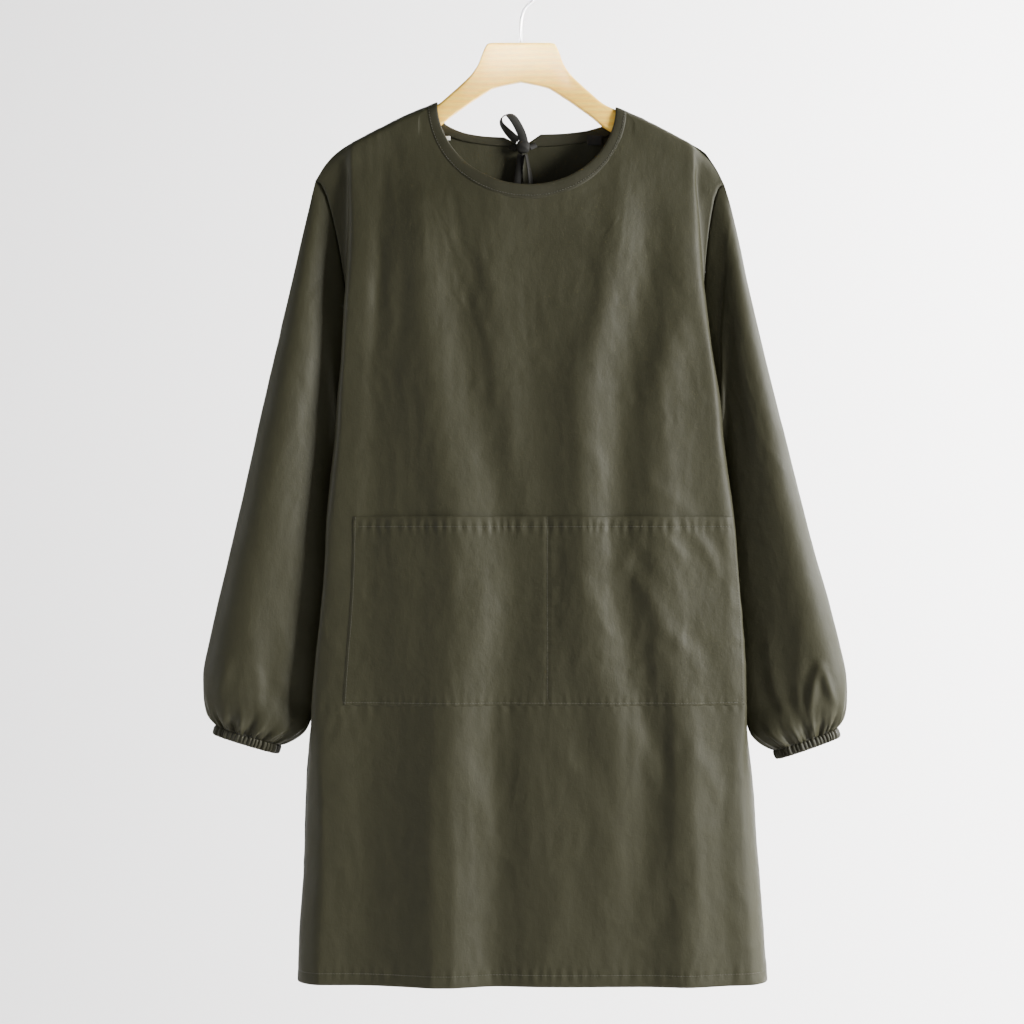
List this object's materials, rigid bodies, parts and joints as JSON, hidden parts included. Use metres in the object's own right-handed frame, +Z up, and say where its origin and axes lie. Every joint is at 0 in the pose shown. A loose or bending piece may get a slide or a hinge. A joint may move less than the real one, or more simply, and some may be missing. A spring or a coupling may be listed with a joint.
{
  "type": "painter smock on a wooden hanger",
  "caption": "Long-sleeved pull-on painter smock with a wide front pocket, gathered cuffs and a tied neck slit at the back, hanging on a flat wooden hanger.",
  "frame": {"origin": "inside top of the hanger's hook, where it rests on a rail", "axes": "+Z up along the hanging garment, +X towards the viewer's right, +Y from the front of the garment to its back"},
  "size_m": [0.6986, 0.0885, 1.0882],
  "materials": {
    "olive_cloth": "matt, softly crinkled",
    "tie_tape": "matt",
    "woven_label": "matt",
    "light_tag": "matt",
    "beech": "satin",
    "white_wire": "smooth"
  },
  "bodies": {
    "root": {"front_panel": "olive_cloth", "back_panel_left": "olive_cloth", "back_panel_right": "olive_cloth", "sleeve_left_upper_front": "olive_cloth", "sleeve_left_upper_back": "olive_cloth", "sleeve_left_lower_front": "olive_cloth", "sleeve_left_lower_back": "olive_cloth", "sleeve_right_upper_front": "olive_cloth", "sleeve_right_upper_back": "olive_cloth", "sleeve_right_lower_front": "olive_cloth", "sleeve_right_lower_back": "olive_cloth", "cuff_left": "olive_cloth", "cuff_right": "olive_cloth", "neck_binding": "olive_cloth", "front_pocket": "olive_cloth", "neck_label": "woven_label", "size_tag": "light_tag", "tie_strap_left": "tie_tape", "tie_strap_right": "tie_tape", "tie_loop": "tie_tape", "tie_tail_left": "tie_tape", "tie_tail_right": "tie_tape", "tie_knot": "tie_tape", "hanger_arm": "beech", "hanger_hook": "white_wire"}
  },
  "joints": []
}
